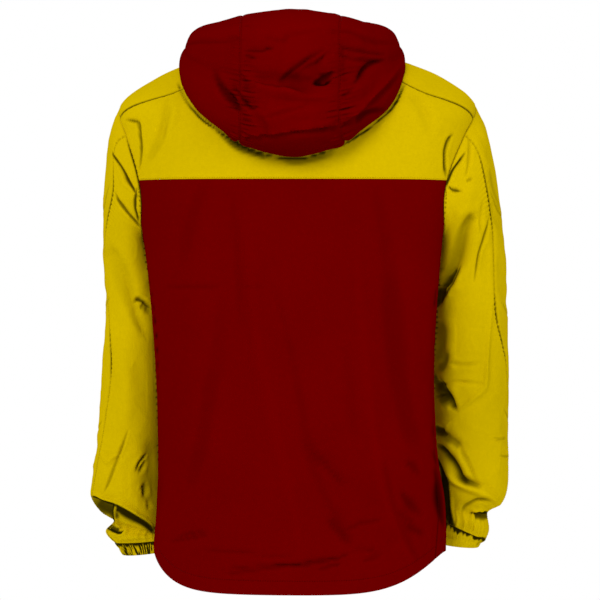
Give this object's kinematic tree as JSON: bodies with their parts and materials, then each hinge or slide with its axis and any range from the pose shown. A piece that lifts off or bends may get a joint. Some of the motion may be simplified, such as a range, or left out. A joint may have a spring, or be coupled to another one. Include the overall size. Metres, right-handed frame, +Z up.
{
  "type": "anorak pullover",
  "caption": "Hooded pullover anorak with a half-length front zip, a yoke across the back and chest, long sleeves and elasticated cuffs.",
  "frame": {"origin": "middle of the neck opening, level with the top of the shoulders beside the neck", "axes": "+Z up; -Y the way the wearer looks, so the back of the garment faces +Y; +X the wearer's left"},
  "size_m": [0.6063, 0.3388, 0.7984],
  "materials": {
    "yellow_nylon": "plain woven nylon, slight sheen",
    "dark_red_nylon": "plain woven nylon, slight sheen",
    "zip_tape": "woven tape with a nylon coil",
    "zip_metal": "cast and tumbled"
  },
  "bodies": {
    "garment": {"back_body": "dark_red_nylon", "back_yoke": "yellow_nylon", "cuff_left": "yellow_nylon", "cuff_right": "yellow_nylon", "front_body": "dark_red_nylon", "front_yoke_left": "yellow_nylon", "front_yoke_right": "yellow_nylon", "hood_centre": "dark_red_nylon", "hood_left": "dark_red_nylon", "hood_right": "dark_red_nylon", "sleeve_back_left": "yellow_nylon", "sleeve_back_right": "yellow_nylon", "sleeve_front_left": "yellow_nylon", "sleeve_front_right": "yellow_nylon", "zip_slider": "zip_metal", "zip_tape_left": "zip_tape", "zip_tape_right": "zip_tape"},
    "pull": {"zip_pull": "zip_metal"}
  },
  "joints": [
    {"name": "pull_swing", "type": "hinge", "parent": "garment", "child": "pull", "pos_m": [0, -0.09875, -0.014], "axis": [-1, 0, 0], "range_deg": [0, 160]}
  ]
}
